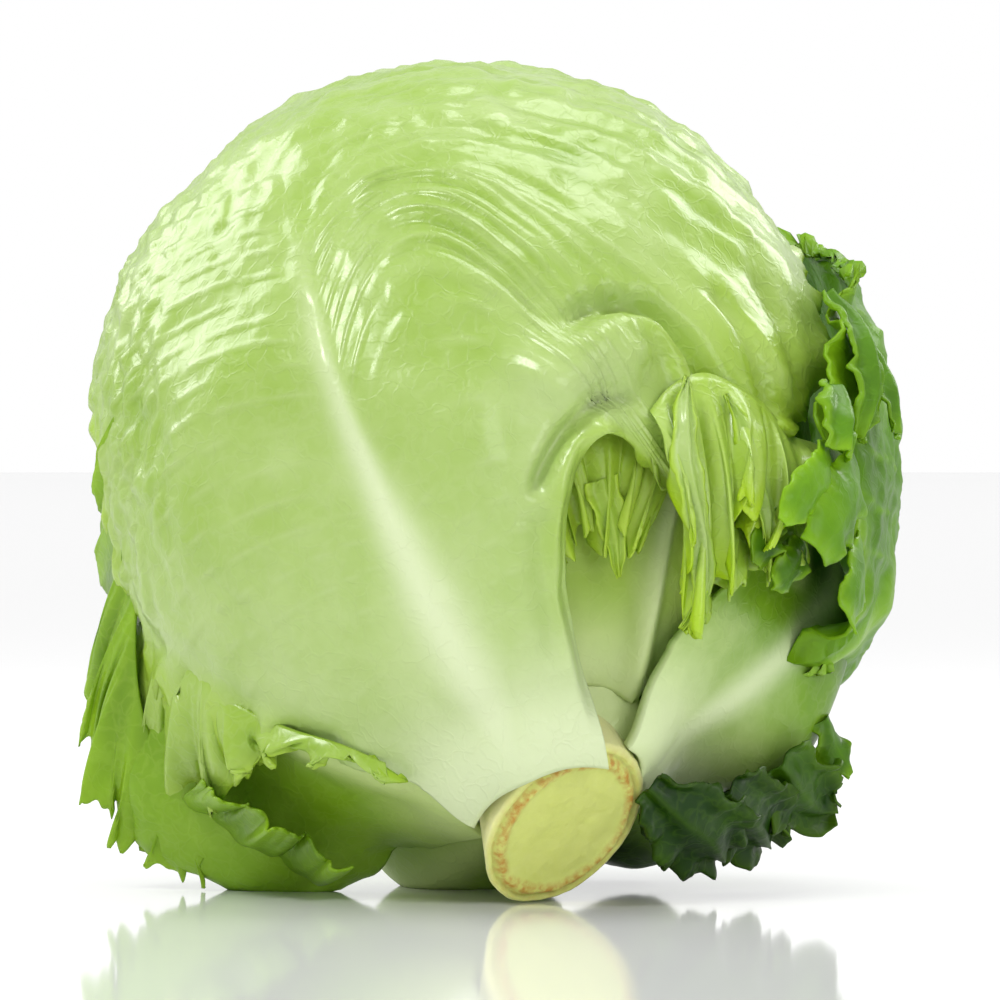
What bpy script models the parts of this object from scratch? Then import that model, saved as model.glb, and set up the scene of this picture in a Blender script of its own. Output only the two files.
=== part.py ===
"""Head of iceberg lettuce, lying with its cut stem towards the front.

The head is a near-ball of separate leaves. Every leaf grows from the stem, so each one starts at a
small gap from the stem and wraps the ball on a layer of its own, outer leaves over inner ones.
Directions on the ball are written (lean, turn): degrees away from the stem axis, and degrees round it.
"""

import math

import bmesh
import bpy
import numpy as np
from mathutils import Matrix, Vector

MM = 0.001

# The ball: half widths across the stem axis, towards the stem and towards the crown.
HEAD_CENTRE = np.array([-6.0, 0.0, 85.0])
ACROSS, STEMWARD, CROWNWARD = 75.0, 88.0, 82.0
STEM_AXIS = np.array([0.207, -0.620, -0.756])
STEM_AXIS = STEM_AXIS / np.linalg.norm(STEM_AXIS)
STEM_UP = np.array([0.0, 0.0, 1.0]) - STEM_AXIS[2] * STEM_AXIS
STEM_UP = STEM_UP / np.linalg.norm(STEM_UP)
STEM_RIGHT = np.cross(STEM_UP, STEM_AXIS)

LEAF_THICKNESS = 2.0
ROWS = 12

# The stem is a tapered stalk, cut off slanting: half widths at distances from the ball's centre.
STEM_PROFILE = ((37.0, 8.0), (44.0, 11.0), (60.0, 13.0), (74.0, 14.5), (84.0, 16.5), (104.0, 17.5))
STEM_SIDES = 32
CUT_CENTRE = np.array([13.0, -57.0, 16.1])
CUT_NORMAL = np.array([0.50, -0.68, -0.50])
CUT_BLOCK = 40.0   # half side of the block that cuts the stalk

# The heart is the bud of smallest leaves, too tight to part: half widths across and along the axis.
HEART_ACROSS, HEART_ALONG = 28.5, 34.0

INNER_LEAVES = 7
INNER_FIRST_LAYER, INNER_STEP = -22.5, -3.6
OUTER_RIB = 14.0   # the loose right leaf's midrib leaves the stem this many degrees to one side
LEAF_TURN = 137.5   # each leaf grows this many degrees round the stem from the one before

PALE_HEART, PALE_STEM = (0.78, 0.80, 0.42), (0.66, 0.72, 0.35)
OUTER_GREEN, DEEP_GREEN, INNER_GREEN = (0.42, 0.62, 0.16), (0.10, 0.27, 0.02), (0.62, 0.74, 0.30)


def direction(lean, turn):
    """Unit vector from the ball's centre at a lean and turn in degrees."""
    lean, turn = math.radians(lean), math.radians(turn)
    outward = STEM_UP * math.cos(turn) + STEM_RIGHT * math.sin(turn)
    return STEM_AXIS * math.cos(lean) + outward * math.sin(lean)


def ball_radius(unit):
    """Distance from the ball's centre to its skin along unit vectors."""
    along = unit @ STEM_AXIS
    end = np.where(along > 0, STEMWARD, CROWNWARD)
    return 1 / np.sqrt((along / end) ** 2 + (1 - along**2) / ACROSS**2)


def smooth_path(points, at):
    """Catmull-Rom curve through evenly spaced points, read at fractions from 0 to 1."""
    points = np.array(points, float)
    padded = np.vstack([2 * points[0] - points[1], points, 2 * points[-1] - points[-2]])
    place = np.clip(np.asarray(at), 0, 1) * (len(points) - 1)
    first = np.minimum(place.astype(int), len(points) - 2)
    t = (place - first)[:, None]
    a, b, c, d = (padded[first + step] for step in range(4))
    bend = (2 * a - 5 * b + 4 * c - d) * t**2 + (3 * b - a - 3 * c + d) * t**3
    return 0.5 * (2 * b + (c - a) * t + bend)


class Leaf:
    """A leaf that wraps the ball: its outline is drawn in degrees of arc about its own middle.

    middle is the (lean, turn) of the chart's middle. The midrib runs up the chart at x = 0 from rib[0]
    to rib[1]; left and right are the margins' points from base to tip. layer is how far the outer skin
    lies outside the ball, in mm, and each swell is (lean, turn, spread in degrees, height in mm).
    """

    def __init__(self, name, middle, rib, left, right, layer, colour, swells=(), columns=11, arch=3.0,
                 rib_offset=0.0):
        self.name, self.middle, self.rib = name, middle, rib
        self.left, self.right = left, right
        self.layer, self.colour, self.swells = layer, colour, swells
        self.columns, self.arch, self.rib_offset = columns, arch, rib_offset

    def chart(self, across, along):
        """Chart degrees of grid places, across from -1 to 1 and along from 0 to 1."""
        sideways = self.rib_offset * (1 - along) ** 2
        rib = np.stack([sideways, self.rib[0] + (self.rib[1] - self.rib[0]) * along], 1)
        margin = np.where(across[:, None] < 0, smooth_path(self.left, along), smooth_path(self.right, along))
        bend = (rib + margin) / 2 + np.stack([np.zeros_like(along), self.arch * (0.4 + along)], 1)
        t = np.abs(across)[:, None]
        return rib * (1 - t) ** 2 + bend * 2 * t * (1 - t) + margin * t**2

    def skin(self, across, along):
        """Points of the outer skin in mm."""
        chart = self.chart(across, along)
        middle = direction(*self.middle)
        away = direction(self.middle[0] + 90, self.middle[1])
        side = np.cross(away, middle)
        arc = np.radians(np.linalg.norm(chart, axis=1))[:, None]
        heading = chart / np.maximum(np.linalg.norm(chart, axis=1), 1e-9)[:, None]
        unit = middle * np.cos(arc) + (side * heading[:, :1] + away * heading[:, 1:]) * np.sin(arc)
        height = np.full(len(unit), float(self.layer))
        for lean, turn, spread, rise in self.swells:
            apart = np.degrees(np.arccos(np.clip(unit @ direction(lean, turn), -1, 1)))
            height += rise * np.exp(-((apart / spread) ** 2))
        points = HEAD_CENTRE + unit * (ball_radius(unit) + height)[:, None]
        points[:, 2] = np.maximum(points[:, 2], 0.0)   # the lowest leaf lies flat where the head rests
        return points

    def build(self):
        """The leaf as a thin shell: an open sheet, thickened inwards."""
        mesh = bmesh.new()
        bmesh.ops.create_grid(mesh, x_segments=self.columns, y_segments=ROWS, size=1)
        places = np.array([vertex.co[:2] for vertex in mesh.verts])
        skin = self.skin(places[:, 0], (places[:, 1] + 1) / 2)
        for vertex, point in zip(mesh.verts, skin):
            vertex.co = Vector(point) * MM
        leaf = add_object(self.name, mesh, self.colour)
        shell = leaf.modifiers.new("thickness", "SOLIDIFY")
        shell.thickness, shell.offset = LEAF_THICKNESS * MM, -1
        return leaf


def oval(width, bottom, top, base=10.0):
    """Left and right margins of a broad oval leaf, in degrees, from its base to its blunt tip."""
    shape = ((base, 0.0), (0.62 * width, 0.12), (0.92 * width, 0.32), (width, 0.55), (0.86 * width, 0.80))
    right = [(x, bottom + (top - bottom) * y) for x, y in shape] + [(0.5 * width, top)]
    return [(-x, y) for x, y in right], right


def add_object(name, mesh, colour, roughness=0.45):
    """Finish a bmesh as a smooth-shaded object with a material of its own."""
    data = bpy.data.meshes.new(name)
    mesh.to_mesh(data)
    mesh.free()
    data.shade_smooth()
    material = bpy.data.materials.new(name)
    material.use_nodes = True
    shader = material.node_tree.nodes["Principled BSDF"]
    shader.inputs["Base Color"].default_value = (*colour, 1)
    shader.inputs["Roughness"].default_value = roughness
    shader.inputs["Metallic"].default_value = 0.0
    data.materials.append(material)
    thing = bpy.data.objects.new(name, data)
    lettuce.objects.link(thing)
    thing.parent = root
    return thing


def stem():
    """The stalk, turned about the stem axis and cut off slanting."""
    mesh = bmesh.new()
    profile = [(0.0, STEM_PROFILE[0][0])] + [(wide, far) for far, wide in STEM_PROFILE]
    profile.append((0.0, STEM_PROFILE[-1][0]))
    # The turned axis points down its own -Z, so the profile runs from the inner end down to the cut end.
    corners = [mesh.verts.new((wide * MM, 0, -far * MM)) for wide, far in profile]
    for one, other in zip(corners, corners[1:]):
        mesh.edges.new((one, other))
    stalk = add_object("stem", mesh, PALE_STEM, roughness=0.6)
    turned = stalk.modifiers.new("turned", "SCREW")
    turned.steps = turned.render_steps = STEM_SIDES
    turned.use_merge_vertices, turned.merge_threshold = True, 0.0001
    turned.use_smooth_shade = True
    stalk.location = Vector(HEAD_CENTRE) * MM
    stalk.rotation_euler = Vector((0, 0, -1)).rotation_difference(Vector(STEM_AXIS)).to_euler()

    block = bmesh.new()
    bmesh.ops.create_cube(block, size=2 * CUT_BLOCK * MM)
    normal = Vector(CUT_NORMAL).normalized()
    facing = Vector((0, 0, 1)).rotation_difference(normal).to_matrix().to_4x4()
    middle = Vector(CUT_CENTRE) * MM + normal * CUT_BLOCK * MM
    bmesh.ops.transform(block, matrix=Matrix.Translation(middle) @ facing, verts=block.verts)
    cutter = add_object("stem_cut", block, PALE_STEM)
    lettuce.objects.unlink(cutter)
    cutters.objects.link(cutter)
    cutter.hide_render, cutter.display_type = True, "WIRE"
    cut = stalk.modifiers.new("slanting cut", "BOOLEAN")
    cut.operation, cut.solver, cut.object = "DIFFERENCE", "EXACT", cutter
    return stalk


def heart():
    """The tight bud at the middle, a plain ball stretched along the stem axis."""
    mesh = bmesh.new()
    bmesh.ops.create_uvsphere(mesh, u_segments=20, v_segments=12, radius=1)
    upright = Vector((0, 0, 1)).rotation_difference(Vector(STEM_AXIS)).to_matrix().to_4x4()
    size = Matrix.Diagonal((HEART_ACROSS * MM, HEART_ACROSS * MM, HEART_ALONG * MM, 1))
    place = Matrix.Translation(Vector(HEAD_CENTRE) * MM)
    bmesh.ops.transform(mesh, matrix=place @ upright @ size, verts=mesh.verts)
    return add_object("heart", mesh, PALE_HEART)


def outer_leaves():
    """The loose wrapper leaves, each with its own outline."""
    front_left = [(-12, -70), (-22, -62), (-33, -52), (-47, -40), (-62, -24), (-61, -6), (-52, 14),
                  (-57, 32), (-60, 50), (-48, 72)]
    front_right = [(12, -70), (17, -61), (19, -48), (24, -35), (45, -29), (70, -27), (92, -20),
                   (99, 6), (90, 38), (60, 72)]
    Leaf("leaf_front", (80, -40), (-66, 80), front_left, front_right, 0.0, OUTER_GREEN,
         columns=20, arch=5).build()

    left = [(-9, -79), (-22, -72), (-32, -61), (-33, -49), (-29, -37), (-26, -26), (-31, -8), (-40, 14),
            (-42, 36), (-36, 55), (-26, 70)]
    _, right = oval(62, -79, 70, base=9)
    Leaf("leaf_left", (90, -100), (-77, 74), left, right, -4.5, OUTER_GREEN,
         swells=((62, -128, 11, 22), (48, -141, 14, 20), (84, -128, 10, 4))).build()

    left, right = oval(54, -48, 80, base=8)
    left = [(0.52 * x, y) for x, y in left]
    Leaf("leaf_under", (60, -165), (-47, 84), left, right, -9.0, OUTER_GREEN,
         swells=((42, -180, 17.5, 17.0), (100, 172, 20, 3.0))).build()

    left, right = oval(48, -47, 72, base=8)
    Leaf("leaf_low_right", (60, 132), (-46, 76), left, right, -13.5, DEEP_GREEN,
         swells=((47, 143, 15, 24), (80, 143, 22, 5.0))).build()

    left, right = oval(76, -99, 70, base=9)
    Leaf("leaf_back", (112, 118), (-97, 74), left, right, -18.0, OUTER_GREEN).build()

    low_left = [(-7, -33.5), (-13, -26), (-18, -18), (-17, -4), (-16, 12), (-20, 30), (-16, 48), (-8, 58)]
    low_right = [(8, -33.5), (16, -24), (22, -15), (20, -4), (24, 12), (30, 28), (26, 46), (14, 58)]
    Leaf("leaf_right", (45, 75), (-33, 60), low_left, low_right, -7.0, OUTER_GREEN,
         swells=((43, 99, 11.5, 10),)).build()

    far_left = [(9, -74), (19, -67), (26, -58), (6, -46), (-24, -42), (-34, -28), (-32, -10),
                (-22, 8), (-6, 20)]
    far_right = [(14, -73), (27, -64), (33, -54), (32, -42), (34, -30), (38, -16), (44, 6), (42, 30),
                 (24, 42)]
    Leaf("leaf_right_outer", (85, 75), (-72, 36), far_left, far_right, 10.0, DEEP_GREEN,
         swells=((20, 123, 12, -14.0), (42, 98, 14, 5.0)), rib_offset=OUTER_RIB).build()

    left, right = oval(46, -42, 62, base=8)
    Leaf("leaf_opening", (55, 8), (-41.5, 66), left, right, -13.5, INNER_GREEN).build()


def inner_leaves():
    """The nested head leaves, each a layer deeper and a turn round from the last."""
    for number in range(INNER_LEAVES):
        layer = INNER_FIRST_LAYER + INNER_STEP * number
        base = 62.0 - 1.5 * number
        left, right = oval(72, -base, 74, base=14)
        Leaf(f"inner_leaf_{number + 1}", (78, 60 + LEAF_TURN * number), (-base, 78), left, right, layer,
             INNER_GREEN, columns=10).build()


def stand_on_origin():
    """Move the root so that the whole head's box rests on the origin at its bottom centre."""
    bpy.context.view_layer.update()
    depsgraph = bpy.context.evaluated_depsgraph_get()
    corners = []
    for thing in lettuce.objects:
        if thing.type == "MESH":
            shown = thing.evaluated_get(depsgraph)
            corners += [shown.matrix_world @ vertex.co for vertex in shown.data.vertices]
    low = Vector(min(point[axis] for point in corners) for axis in range(3))
    high = Vector(max(point[axis] for point in corners) for axis in range(3))
    root.location = -Vector(((low.x + high.x) / 2, (low.y + high.y) / 2, low.z))


for thing in list(bpy.data.objects):
    bpy.data.objects.remove(thing)
lettuce = bpy.data.collections.new("head_of_lettuce")
cutters = bpy.data.collections.new("cutters")
for collection in (lettuce, cutters):
    bpy.context.scene.collection.children.link(collection)
root = bpy.data.objects.new("head_root", None)
lettuce.objects.link(root)

stem()
heart()
outer_leaves()
inner_leaves()
stand_on_origin()
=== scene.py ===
"""Looks of a head of iceberg lettuce: fine leaves, cut stem, studio floor, light and camera."""

import logging
import math
from dataclasses import dataclass
from enum import Enum
from typing import Any, Sequence

import bpy
import numpy as np
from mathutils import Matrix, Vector


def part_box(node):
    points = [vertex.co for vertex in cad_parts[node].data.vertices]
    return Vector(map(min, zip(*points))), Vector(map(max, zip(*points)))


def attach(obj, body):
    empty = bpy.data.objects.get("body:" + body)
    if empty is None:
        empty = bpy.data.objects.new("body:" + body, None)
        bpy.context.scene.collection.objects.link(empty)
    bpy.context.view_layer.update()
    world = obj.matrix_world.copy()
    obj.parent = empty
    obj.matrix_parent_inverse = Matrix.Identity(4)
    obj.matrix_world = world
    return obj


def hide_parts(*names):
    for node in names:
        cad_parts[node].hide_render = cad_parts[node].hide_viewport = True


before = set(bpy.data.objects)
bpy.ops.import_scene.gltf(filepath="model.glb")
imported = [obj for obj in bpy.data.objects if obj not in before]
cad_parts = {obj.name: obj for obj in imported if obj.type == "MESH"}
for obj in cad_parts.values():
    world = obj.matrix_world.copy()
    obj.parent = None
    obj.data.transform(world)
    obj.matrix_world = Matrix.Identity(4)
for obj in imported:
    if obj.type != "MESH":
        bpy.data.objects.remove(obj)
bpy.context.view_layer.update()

logging.basicConfig(level=logging.INFO, format="%(message)s")
log = logging.getLogger("lettuce")

MM = 0.001               # metres in a millimetre
BODY = "root"            # the one body, which every leaf rides
TABLE_GAP = 0.4          # mm above the table that a free strip of margin stays
Array = np.ndarray


class Side(Enum):
    """The leaf's two margins, by the sign of the places across it."""

    LEFT = -1
    RIGHT = 1


def hex_colour(code: str) -> tuple[float, float, float, float]:
    """Turn an sRGB hex colour into linear values.

    Args:
        code: the colour as "#RRGGBB".

    Returns:
        Linear red, green and blue, and 1 for opaque.
    """
    parts = [int(code[start:start + 2], 16) / 255 for start in (1, 3, 5)]
    linear = [part / 12.92 if part <= 0.04045 else ((part + 0.055) / 1.055) ** 2.4 for part in parts]
    return (*linear, 1.0)


def smoothstep(low: float, high: float, value: Array) -> Array:
    """Ease from 0 at low to 1 at high.

    Args:
        low: where the ramp starts.
        high: where the ramp ends; it may be less than low.
        value: places to read.

    Returns:
        The eased ramp.
    """
    t = np.clip((value - low) / (high - low), 0, 1)
    return t * t * (3 - 2 * t)


def bell(value: Array, width: float) -> Array:
    """Read a bell curve of height 1.

    Args:
        value: distances from its middle.
        width: the distance at which it falls to 1/e.

    Returns:
        The curve's heights.
    """
    return np.exp(-((value / width) ** 2))


def unit_rows(vectors: Array) -> Array:
    """Scale vectors, which lie along the last axis, to length 1; a zero vector stays zero."""
    return vectors / np.maximum(np.linalg.norm(vectors, axis=-1), 1e-9)[..., None]


def distances_along(points: Array) -> Array:
    """Distance run from the first point to each point of a path."""
    return np.concatenate([[0], np.cumsum(np.linalg.norm(np.diff(points, axis=0), axis=1))])


def track(values: Sequence[float], at: Array) -> Array:
    """Read a smooth curve through evenly spaced numbers, as smooth_path does for points."""
    return smooth_path([[value] for value in values], at)[:, 0]


def smooth_path(points: Sequence[Sequence[float]], at: Array) -> Array:
    """Read a Catmull-Rom curve through evenly spaced points.

    Args:
        points: the curve's points, each of any number of values.
        at: fractions of the way along, from 0 to 1.

    Returns:
        One row of values for each fraction.
    """
    knots = np.array(points, float)
    padded = np.vstack([2 * knots[0] - knots[1], knots, 2 * knots[-1] - knots[-2]])
    place = np.clip(np.asarray(at, float), 0, 1) * (len(knots) - 1)
    first = np.minimum(place.astype(int), len(knots) - 2)
    t = (place - first)[:, None]
    a, b, c, d = (padded[first + step] for step in range(4))
    return 0.5 * (2 * b + (c - a) * t + (2 * a - 5 * b + 4 * c - d) * t**2 + (3 * b - a - 3 * c + d) * t**3)


class Noise:
    """Smooth gradient noise on a seeded lattice."""

    def __init__(self, seed: int) -> None:
        """Draw the lattice's gradients.

        Args:
            seed: the number that the draws start from.
        """
        draw = np.random.default_rng(seed)
        self.order = draw.permutation(256)
        gradients = draw.normal(size=(256, 3))
        self.gradients = gradients / np.linalg.norm(gradients, axis=1)[:, None]

    def __call__(self, *axes: Array) -> Array:
        """Read the noise.

        Args:
            axes: one, two or three arrays of places in lattice cells.

        Returns:
            Values from about -1 to 1.
        """
        size = np.broadcast(*axes).shape
        places = np.stack([np.broadcast_to(axis, size).ravel() for axis in axes]
                          + [np.zeros(int(np.prod(size)))] * (3 - len(axes)), 1)
        cell = np.floor(places).astype(int)
        inside = places - cell
        fade = inside**3 * (inside * (inside * 6 - 15) + 10)
        total = np.zeros(len(places))
        for corner in np.ndindex(2, 2, 2):
            step = np.array(corner)
            x, y, z = ((cell + step) & 255).T
            which = self.order[(self.order[(self.order[x] + y) & 255] + z) & 255]
            weight = np.prod(np.where(step == 1, fade, 1 - fade), axis=1)
            total += weight * np.einsum("ij,ij->i", self.gradients[which], inside - step)
        return (1.6 * total).reshape(size)

    def octaves(self, *axes: Array, layers: int) -> Array:
        """Sum layers of noise, each twice as fine and half as strong as the last.

        Args:
            axes: one, two or three arrays of places in the largest layer's cells.
            layers: how many layers.

        Returns:
            The sum.
        """
        return sum(0.5**layer * self(*[axis * 2.0**layer + 7.3 * layer for axis in axes])
                   for layer in range(layers))


@dataclass(frozen=True)
class Ball:
    """The near-ball that the leaves wrap, with directions as lean from the stem and turn round it.

    Lengths are in mm.
    """

    centre: Array
    across: float = 75.0
    stemward: float = 88.0
    crownward: float = 82.0
    axis: tuple[float, float, float] = (0.207, -0.620, -0.756)

    @property
    def stem(self) -> Array:
        """Unit vector from the ball's centre out along the stem."""
        return np.array(self.axis) / np.linalg.norm(self.axis)

    @property
    def up(self) -> Array:
        """Unit vector across the stem, as near to upwards as it goes."""
        flat = np.array([0.0, 0.0, 1.0]) - self.stem[2] * self.stem
        return flat / np.linalg.norm(flat)

    @property
    def right(self) -> Array:
        """Unit vector across the stem, to the right as seen from the stem's side."""
        return np.cross(self.up, self.stem)

    def direction(self, lean: Array, turn: Array) -> Array:
        """Point from the centre.

        Args:
            lean: degrees from the stem.
            turn: degrees round the stem, from upwards to the right.

        Returns:
            One unit vector for each lean and turn.
        """
        lean, turn = np.radians(np.atleast_1d(lean)), np.radians(np.atleast_1d(turn))
        outward = self.up * np.cos(turn)[:, None] + self.right * np.sin(turn)[:, None]
        return self.stem * np.cos(lean)[:, None] + outward * np.sin(lean)[:, None]

    def radius(self, unit: Array) -> Array:
        """Measure from the centre to the ball's skin.

        Args:
            unit: rows of unit vectors.

        Returns:
            The distance along each, in mm.
        """
        along = unit @ self.stem
        end = np.where(along > 0, self.stemward, self.crownward)
        return 1 / np.sqrt((along / end) ** 2 + (1 - along**2) / self.across**2)

    def wrap(self, chart: Array, middle: tuple[float, float]) -> Array:
        """Unit vectors for chart places, which are degrees of arc about a middle direction.

        Args:
            chart: rows of degrees across and degrees away from the stem.
            middle: lean and turn of the chart's middle.

        Returns:
            One unit vector for each row.
        """
        out = self.direction(*middle)[0]
        away = self.direction(middle[0] + 90, middle[1])[0]
        side = np.cross(away, out)
        length = np.linalg.norm(chart, axis=1)[:, None]
        heading = chart / np.maximum(length, 1e-9)
        arc = np.radians(length)
        return out * np.cos(arc) + (side * heading[:, :1] + away * heading[:, 1:]) * np.sin(arc)

    def point(self, lean: Array, turn: Array, height: Array) -> Array:
        """Place points over the ball's skin.

        Args:
            lean: degrees from the stem.
            turn: degrees round the stem.
            height: mm above the skin.

        Returns:
            Rows of x, y and z in mm.
        """
        unit = self.direction(lean, turn)
        return self.centre + unit * (self.radius(unit) + np.atleast_1d(height))[:, None]


def node_middle(name: str) -> Array:
    """Find the middle of a CAD node.

    Args:
        name: the node's name.

    Returns:
        The middle of its box, in mm.
    """
    low, high = (np.array(corner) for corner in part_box(name))
    return (low + high) / 2 / MM


BALL = Ball(centre=node_middle("heart"))
DEGREE = math.radians(1) * BALL.across   # mm of leaf for one degree of arc


def add_node(tree: bpy.types.NodeTree, kind: str, settings: dict[str, Any] | None = None,
             **links: Any) -> bpy.types.Node:
    """Add a shader node with its settings, values and links.

    Args:
        tree: the node tree to add to.
        kind: the node's type name without "ShaderNode".
        settings: attributes of the node.
        links: inputs by name, with _ for a space, or by i and a number; each is a value or a socket.

    Returns:
        The new node.
    """
    node = tree.nodes.new("ShaderNode" + kind)
    for name, value in (settings or {}).items():
        setattr(node, name, value)
    for name, value in links.items():
        if name[0] == "i" and name[1:].isdigit():
            socket = node.inputs[int(name[1:])]
        else:
            socket = node.inputs[name.replace("_", " ")]
        if isinstance(value, bpy.types.NodeSocket):
            tree.links.new(value, socket)
        else:
            socket.default_value = value
    return node


@dataclass(frozen=True)
class LeafTissue:
    """Living lettuce leaf: a waxy, water-filled sheet that light passes through.

    The wax gives broad soft highlights, the water a glow from behind, and the chlorophyll a green that
    deepens away from the white rib.
    """

    name: str
    rib: str = "#E2EDBE"
    pale: str = "#C8E08E"
    blade: str = "#A8CE50"
    deep: str = "#6C9C10"
    # The rim colour is the bright yellow-green at the margins: partly their own colour, partly painted glow
    # of light through the thin edge.
    rim: str = "#C2E038"
    roughness: float = 0.36
    glow: float = 0.26       # share of light that passes through the blade
    wax: float = 0.15        # clear coat of leaf wax
    wax_roughness: float = 0.16
    ior: float = 1.42        # between water's and dry cellulose's
    shine: float = 0.5       # strength of the plain reflection under the wax
    net: float = 0.35        # how much paler the net's lines are
    net_mm: float = 4.5      # width of a mesh of the fine vein net
    wander_mm: float = 6.25      # width of a bend of the net's lines
    mottle_mm: float = 22.22     # width of a patch of the blade's mottling
    crinkle_mm: float = 2.381    # width of a pucker between the net's veins
    pucker_mm: float = 0.22      # height of the puckers

    def make(self) -> bpy.types.Material:
        """Build the material.

        Returns:
            The material, which reads the mesh's green, rib, rim and vein attributes.
        """
        material = bpy.data.materials.new(self.name)
        material.use_nodes = True
        tree = material.node_tree
        tree.nodes.clear()
        place = add_node(tree, "TexCoord").outputs["Object"]
        read = {name: add_node(tree, "Attribute", {"attribute_name": name}).outputs["Fac"]
                for name in ("green", "rib", "rim", "vein")}

        # Mottling about 20 mm wide keeps a large blade from looking like one flat green.
        mottle = add_node(tree, "TexNoise", Vector=place, Scale=1000.0 / self.mottle_mm, Detail=4.0,
                          Roughness=0.6)
        shift = add_node(tree, "MapRange", {"clamp": True}, Value=mottle.outputs["Fac"], From_Min=0.3,
                         From_Max=0.7, To_Min=-0.14, To_Max=0.14)
        amount = add_node(tree, "Math", {"operation": "ADD", "use_clamp": True}, i0=read["green"],
                          i1=shift.outputs["Result"])
        ramp = add_node(tree, "ValToRGB", Fac=amount.outputs["Value"])
        ramp.color_ramp.elements[0].color = hex_colour(self.pale)
        ramp.color_ramp.elements[1].color = hex_colour(self.deep)
        middle = ramp.color_ramp.elements.new(0.5)
        middle.color = hex_colour(self.blade)

        # The vein net, at its real mesh of a few mm, is paler than the blade and stands a little proud.
        warp = add_node(tree, "TexNoise", Vector=place, Scale=1000.0 / self.wander_mm, Detail=2.0)
        bent = add_node(tree, "MixRGB", {"blend_type": "LINEAR_LIGHT"}, Fac=0.006, Color1=place,
                        Color2=warp.outputs["Color"])
        net = add_node(tree, "TexVoronoi", {"feature": "DISTANCE_TO_EDGE"}, Vector=bent.outputs["Color"],
                       Scale=1000.0 / self.net_mm)
        line = add_node(tree, "MapRange", {"clamp": True}, Value=net.outputs["Distance"], From_Min=0.0,
                        From_Max=0.12, To_Min=1.0, To_Max=0.0)
        faint = add_node(tree, "Math", {"operation": "MULTIPLY"}, i0=line.outputs["Result"], i1=self.net)
        veins = add_node(tree, "Math", {"operation": "MAXIMUM"}, i0=read["vein"], i1=faint.outputs["Value"])
        paler = add_node(tree, "Math", {"operation": "MULTIPLY"}, i0=0.45, i1=veins.outputs["Value"])
        veined = add_node(tree, "MixRGB", Fac=paler.outputs["Value"], Color1=ramp.outputs["Color"],
                          Color2=hex_colour(self.pale))
        rimmed = add_node(tree, "MixRGB", Fac=read["rim"], Color1=veined.outputs["Color"],
                          Color2=hex_colour(self.rim))
        colour = add_node(tree, "MixRGB", Fac=read["rib"], Color1=rimmed.outputs["Color"],
                          Color2=hex_colour(self.rib)).outputs["Color"]

        # Puckers about 2 mm wide between the net's veins catch the light as a fine crinkle.
        fine = add_node(tree, "TexNoise", Vector=place, Scale=1000.0 / self.crinkle_mm, Detail=3.0,
                        Roughness=0.55)
        relief = add_node(tree, "MixRGB", Fac=0.35, Color1=fine.outputs["Fac"],
                          Color2=line.outputs["Result"])
        bump = add_node(tree, "Bump", Strength=0.55, Distance=self.pucker_mm * MM,
                        Height=relief.outputs["Color"]).outputs["Normal"]

        surface = add_node(tree, "BsdfPrincipled", Base_Color=colour, Normal=bump)
        surface.inputs["Roughness"].default_value = self.roughness
        surface.inputs["IOR"].default_value = self.ior
        surface.inputs["Specular IOR Level"].default_value = self.shine
        surface.inputs["Coat Weight"].default_value = self.wax
        surface.inputs["Coat Roughness"].default_value = self.wax_roughness
        light = add_node(tree, "BsdfTranslucent", Color=colour, Normal=bump)
        thin = add_node(tree, "MapRange", {"clamp": True}, Value=read["rib"], From_Min=0.0, From_Max=1.0,
                        To_Min=self.glow, To_Max=0.5 * self.glow)
        both = add_node(tree, "MixShader", Fac=thin.outputs["Result"], i1=surface.outputs["BSDF"],
                        i2=light.outputs["BSDF"])
        out = add_node(tree, "OutputMaterial")
        tree.links.new(both.outputs["Shader"], out.inputs["Surface"])
        return material


WAVE_SIZES = ((1.0, 1.0), (0.45, 2.3), (0.2, 5.1))   # each wave's height and fineness beside the first


@dataclass(frozen=True)
class Ruffle:
    """How a margin waves: amplitude and wavelength in mm of the largest of its three wave sizes."""

    height: float
    length: float
    reach: float = 14.0    # mm inland over which the waves die away
    curl: float = 0.6      # share of the height that also moves along the margin
    seed: float = 0.0


@dataclass
class Sheet:
    """A grid of points in mm with values painted on it, which becomes one closed, thin mesh."""

    points: Array                      # rows, columns, 3
    thickness: Array                   # rows, columns
    paint: dict[str, Array]            # values from 0 to 1 by name, each of rows and columns

    def closed(self) -> tuple[Array, Array, dict[str, Array]]:
        """Close the sheet by adding its inner skin and rim.

        Returns:
            Points, quad faces, and the paint for each point.
        """
        rows, columns = self.points.shape[:2]
        down = np.gradient(self.points, axis=0)
        over = np.gradient(self.points, axis=1)
        normal = unit_rows(np.cross(over, down))
        inner = self.points - normal * self.thickness[..., None]
        points = np.concatenate([self.points.reshape(-1, 3), inner.reshape(-1, 3)])
        count = rows * columns
        index = np.arange(count).reshape(rows, columns)
        a, b, c, d = index[:-1, :-1], index[:-1, 1:], index[1:, 1:], index[1:, :-1]
        outer = np.stack([a, b, c, d], -1).reshape(-1, 4)
        ring = np.concatenate([index[0, :], index[1:, -1], index[-1, -2::-1], index[-2:0:-1, 0]])
        after = np.roll(ring, -1)
        rim = np.stack([ring, ring + count, after + count, after], -1)
        faces = np.concatenate([outer, outer[:, ::-1] + count, rim])
        paint = {name: np.concatenate([values.ravel()] * 2) for name, values in self.paint.items()}
        return points, faces, paint


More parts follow.
